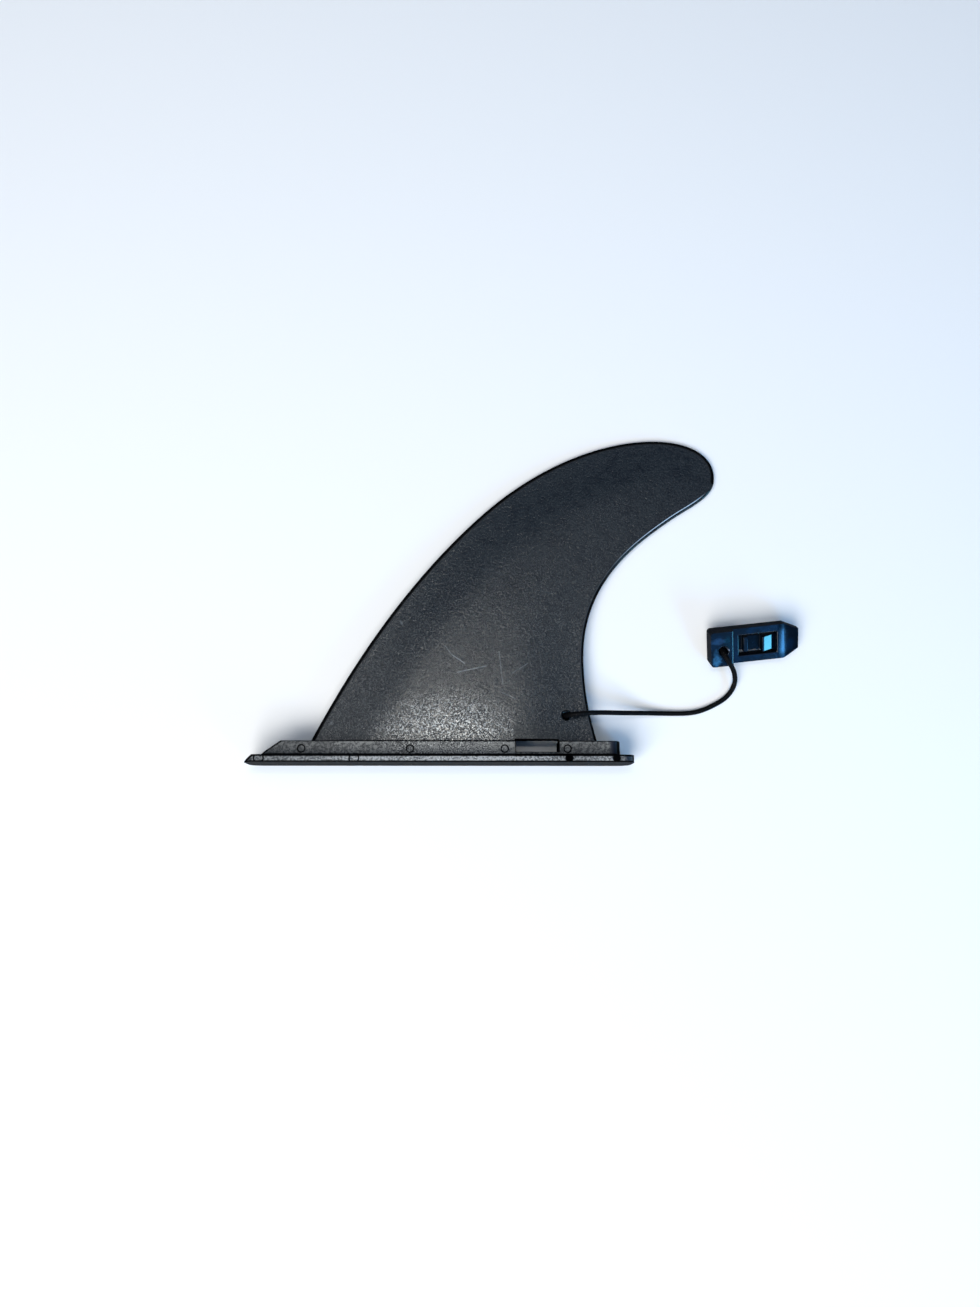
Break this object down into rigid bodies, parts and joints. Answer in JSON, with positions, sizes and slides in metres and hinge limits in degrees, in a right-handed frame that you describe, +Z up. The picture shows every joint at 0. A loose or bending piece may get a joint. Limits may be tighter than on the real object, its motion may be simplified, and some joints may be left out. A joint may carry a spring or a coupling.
{
  "type": "paddleboard side fin",
  "caption": "Slide-in raked fin with a flanged base and transverse key slot, and a locking clip tethered to the blade by a short cord; lying on its side.",
  "frame": {"origin": "middle of the fin's footprint on the surface that it lies on; the cord, its knots and the clip are left out of that footprint", "axes": "+X along the base from its sloped nose to its rear end, +Y from the base towards the blade's tip, +Z up out of the surface, through the blade's thickness"},
  "size_m": [0.3037, 0.1874, 0.0251],
  "materials": {
    "fin_plastic": "satin black moulded plastic with a fine pebbled texture",
    "clip_plastic": "glossy blue-black moulded plastic",
    "tether_braid": "black braided cord"
  },
  "bodies": {
    "root": {"fin": "fin_plastic", "locking_clip": "clip_plastic", "tether_cord": "tether_braid", "fin_knot": "tether_braid", "clip_knot": "tether_braid"}
  },
  "joints": []
}
